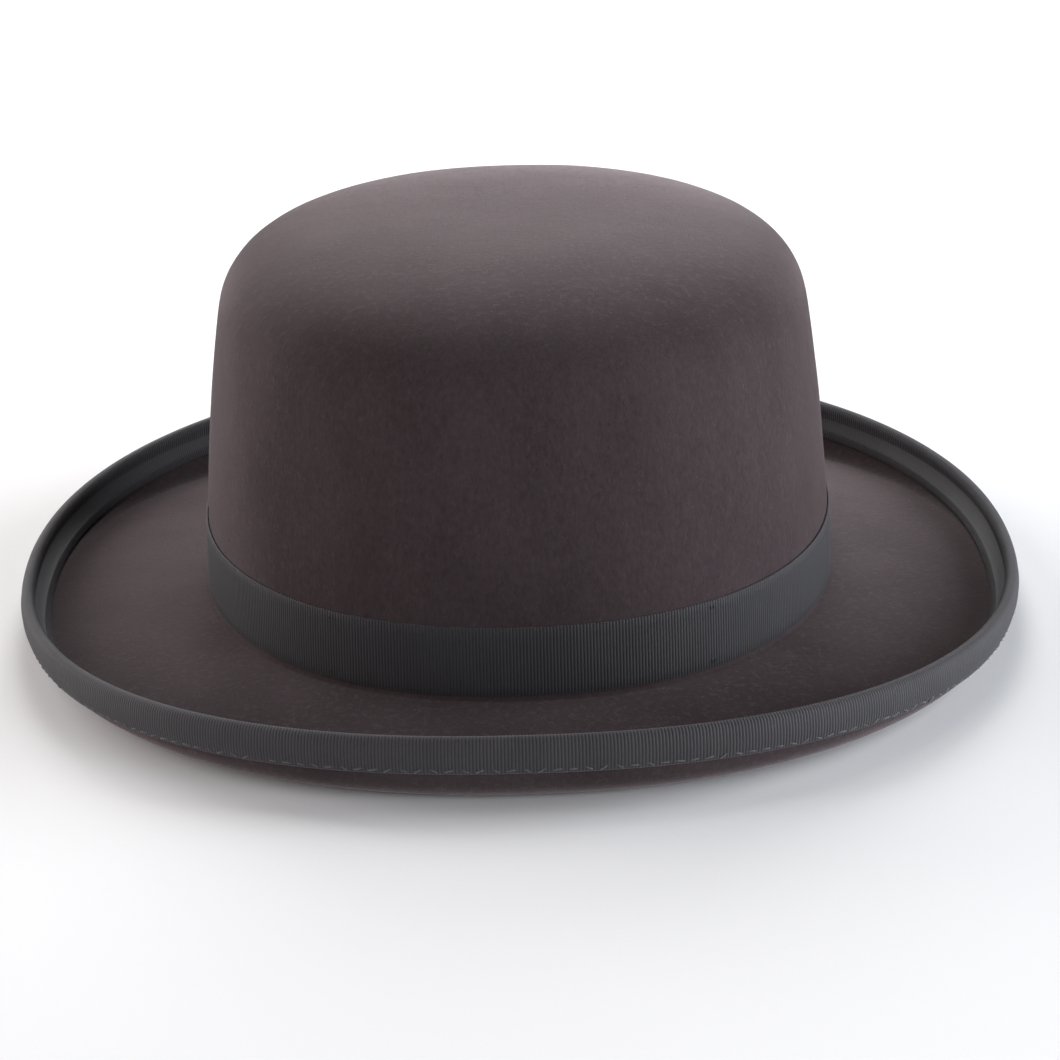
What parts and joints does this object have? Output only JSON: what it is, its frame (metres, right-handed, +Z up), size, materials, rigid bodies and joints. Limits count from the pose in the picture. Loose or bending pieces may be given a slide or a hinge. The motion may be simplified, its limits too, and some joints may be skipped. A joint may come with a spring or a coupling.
{
  "type": "bowler hat",
  "caption": "Bowler hat in brown-grey felt with a curled brim, ribbed ribbon band, side bow and edge binding, leather sweatband and satin lining.",
  "frame": {"origin": "under the middle of the hat, on the surface that its brim stands on", "axes": "+Z up through the crown, -Y towards the front of the hat, +X towards the wearer's left"},
  "size_m": [0.282, 0.3104, 0.1135],
  "materials": {
    "felt": "brushed fur felt, short nap",
    "grosgrain": "ribbed ribbon, soft sheen",
    "binding_ribbon": "ribbed ribbon, soft sheen",
    "dark_thread": "twisted thread",
    "binding_thread": "twisted thread",
    "leather": "smooth grain leather",
    "tan_thread": "twisted thread",
    "reed": "clear matt",
    "tape": "plain woven",
    "satin_ribbon": "satin sheen",
    "tag": "woven, matt",
    "satin": "satin sheen",
    "piping": "satin covered cord"
  },
  "bodies": {
    "root": {"felt_body": "felt", "hat_band": "grosgrain", "band_tacks": "dark_thread", "bow_loops": "grosgrain", "bow_knot": "grosgrain", "bow_tacks": "dark_thread", "brim_binding": "binding_ribbon", "binding_stitches": "binding_thread", "sweatband": "leather", "sweatband_stitches": "tan_thread", "sweatband_reed": "reed", "reed_tape": "tape", "back_seam_patch": "leather", "inner_bow_loops": "satin_ribbon", "inner_bow_knot": "satin_ribbon", "size_tag": "tag", "lining_side": "satin", "lining_piping": "piping", "lining_tip": "satin"}
  },
  "joints": []
}
